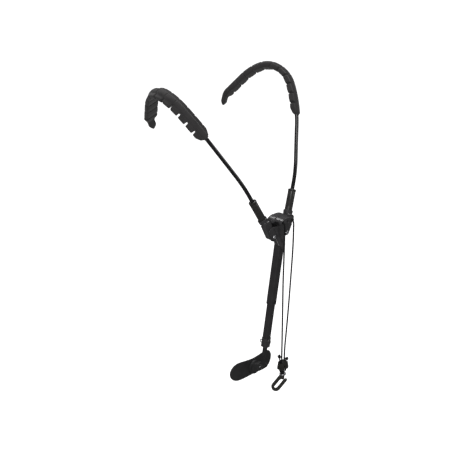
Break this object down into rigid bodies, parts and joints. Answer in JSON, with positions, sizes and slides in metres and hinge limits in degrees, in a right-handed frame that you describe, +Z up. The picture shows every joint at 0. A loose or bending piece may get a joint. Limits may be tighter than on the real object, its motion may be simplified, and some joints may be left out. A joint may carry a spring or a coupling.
{
  "type": "saxophone shoulder harness",
  "caption": "Rigid instrument harness: bent rods with padded shoulder hooks fold on a hub over a telescopic bar, belly plate and cord with hook.",
  "frame": {"origin": "midway between the undersides of the two shoulder pads' crowns, where the harness rests on the wearer", "axes": "+X across the wearer towards the right-hand arm of a front view, +Y from the front towards the wearer, +Z up"},
  "size_m": [0.2649, 0.2131, 0.4876],
  "materials": {
    "hub_plastic": "moulded black plastic, satin gloss",
    "sleeve_metal": "black satin coated tube",
    "rod_metal": "black gloss coated aluminium rod",
    "pad_rubber": "matte dark grey moulded foam rubber",
    "bar_metal": "black satin coated tube",
    "plate_plastic": "matte dark grey plastic",
    "bright_steel": "bright plated steel",
    "cord_fibre": "black braided cord",
    "slider_plastic": "black moulded plastic",
    "hook_metal": "dark coated metal"
  },
  "bodies": {
    "hub": {"hub_body": "hub_plastic", "hub_front_plate": "hub_plastic", "left_hinge_screw": "bright_steel", "left_hinge_nut": "bright_steel", "right_hinge_screw": "bright_steel", "right_hinge_nut": "bright_steel", "outer_tube": "bar_metal", "cord_left": "cord_fibre", "cord_right": "cord_fibre"},
    "left_bracket": {"left_arm_bracket": "hub_plastic", "left_sleeve": "sleeve_metal", "left_sleeve_ring": "sleeve_metal"},
    "left_arm": {"left_rod": "rod_metal", "left_shoulder_pad": "pad_rubber"},
    "right_bracket": {"right_arm_bracket": "hub_plastic", "right_sleeve": "sleeve_metal", "right_sleeve_ring": "sleeve_metal"},
    "right_arm": {"right_rod": "rod_metal", "right_shoulder_pad": "pad_rubber"},
    "lower_bar": {"inner_tube": "bar_metal", "button_spring": "bright_steel", "end_cap": "hub_plastic", "tie_eyelet": "hub_plastic", "stalk": "plate_plastic"},
    "button": {"height_button": "bar_metal"},
    "knuckle": {"plate_knuckle": "plate_plastic", "tilt_pin": "bright_steel"},
    "plate": {"belly_plate": "plate_plastic", "plate_washer": "bright_steel", "plate_screw": "bright_steel"},
    "slider": {"cord_slider": "slider_plastic", "cord_knot_left": "cord_fibre", "cord_knot_right": "cord_fibre", "cord_loop_front": "cord_fibre", "cord_loop_back": "cord_fibre"},
    "swivel": {"swivel_bail": "bright_steel"},
    "hook": {"hook": "hook_metal", "hook_stem": "bright_steel"}
  },
  "joints": [
    {"name": "left_arm_fold", "type": "hinge", "parent": "hub", "child": "left_bracket", "pos_m": [-0.0142, -0.1253, -0.2138], "axis": [0, -1, 0], "range_deg": [0, 135]},
    {"name": "right_arm_fold", "type": "hinge", "parent": "hub", "child": "right_bracket", "pos_m": [0.0142, -0.1253, -0.2138], "axis": [0, 1, 0], "range_deg": [-5, 130]},
    {"name": "left_rod_turn", "type": "hinge", "parent": "left_bracket", "child": "left_arm", "pos_m": [-0.0142, -0.1253, -0.2138], "axis": [-0.4288, 0.2079, 0.8792], "range_deg": [-15, 25]},
    {"name": "right_rod_turn", "type": "hinge", "parent": "right_bracket", "child": "right_arm", "pos_m": [0.0142, -0.1253, -0.2138], "axis": [-0.4891, -0.2079, -0.8471], "range_deg": [-15, 25]},
    {"name": "bar_slide", "type": "slide", "parent": "hub", "child": "lower_bar", "axis": [0, 0.1426, -0.9898], "range_m": [0, 0.077], "deforming": ["height_button"]},
    {"name": "button_press", "type": "slide", "parent": "lower_bar", "child": "button", "axis": [0, 0.9898, 0.1426], "range_m": [0, 0.0018], "stiffness_N_per_m": 300, "springref_m": -0.002, "deforming": ["button_spring"]},
    {"name": "plate_tilt", "type": "hinge", "parent": "lower_bar", "child": "knuckle", "pos_m": [0, -0.09732, -0.44512], "axis": [-1, 0, 0], "range_deg": [-12, 30]},
    {"name": "plate_turn", "type": "hinge", "parent": "knuckle", "child": "plate", "pos_m": [0, -0.0779, -0.4528], "axis": [0, 1, 0], "range_deg": [-90, 90]},
    {"name": "slider_slide", "type": "slide", "parent": "hub", "child": "slider", "axis": [0, 0, 1], "range_m": [0, 0.08], "deforming": ["cord_left", "cord_right", "cord_loop_front", "cord_loop_back"]},
    {"name": "swivel_slide", "type": "slide", "parent": "slider", "child": "swivel", "axis": [0, 0, 1], "range_m": [-0.04, 0]},
    {"name": "hook_swivel", "type": "hinge", "parent": "swivel", "child": "hook", "pos_m": [-0.0015, -0.1412, -0.4443], "axis": [0, 0, 1], "continuous": true}
  ],
  "couplings": [
    {"joint": "swivel_slide", "follows": "slider_slide", "ratio": -0.5}
  ]
}
